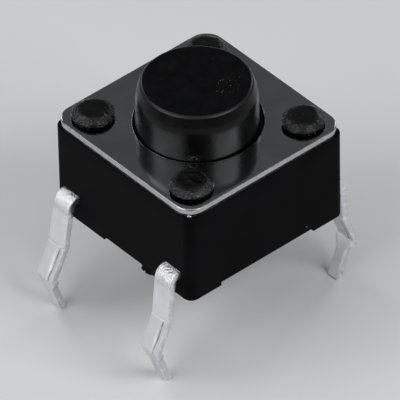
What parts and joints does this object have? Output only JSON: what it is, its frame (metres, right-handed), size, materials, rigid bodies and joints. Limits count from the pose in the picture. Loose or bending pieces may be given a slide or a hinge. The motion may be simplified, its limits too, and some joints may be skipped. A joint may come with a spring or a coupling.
{
  "type": "tactile push button switch",
  "caption": "Square black momentary push switch with a round button, a steel cover plate held by staked studs, and kinked through-hole legs.",
  "frame": {"origin": "centre of the square footprint on the board seat, which is the plane of the four moulded feet", "axes": "+Z points out of the button, away from the board. The legs leave the two X faces. Each terminal strip runs along X."},
  "size_m": [0.0081, 0.006, 0.0079],
  "materials": {
    "housing": "black glass-filled nylon, fine moulded texture",
    "cover": "bright rolled stainless sheet with sheared edges",
    "button": "black moulded plastic, satin",
    "spring_metal": "thin stainless spring sheet",
    "contact_metal": "stamped brass strip, bright tin or silver plated"
  },
  "bodies": {
    "housing": {"base": "housing", "cover_plate": "cover", "snap_dome": "spring_metal", "outer_terminal": "contact_metal", "centre_terminal": "contact_metal"},
    "button": {"plunger": "button"}
  },
  "joints": [
    {"name": "plunger_press", "type": "slide", "parent": "housing", "child": "button", "axis": [0, 0, -1], "range_m": [0, 0.00025], "stiffness_N_per_m": 6400, "deforming": ["snap_dome"]}
  ]
}
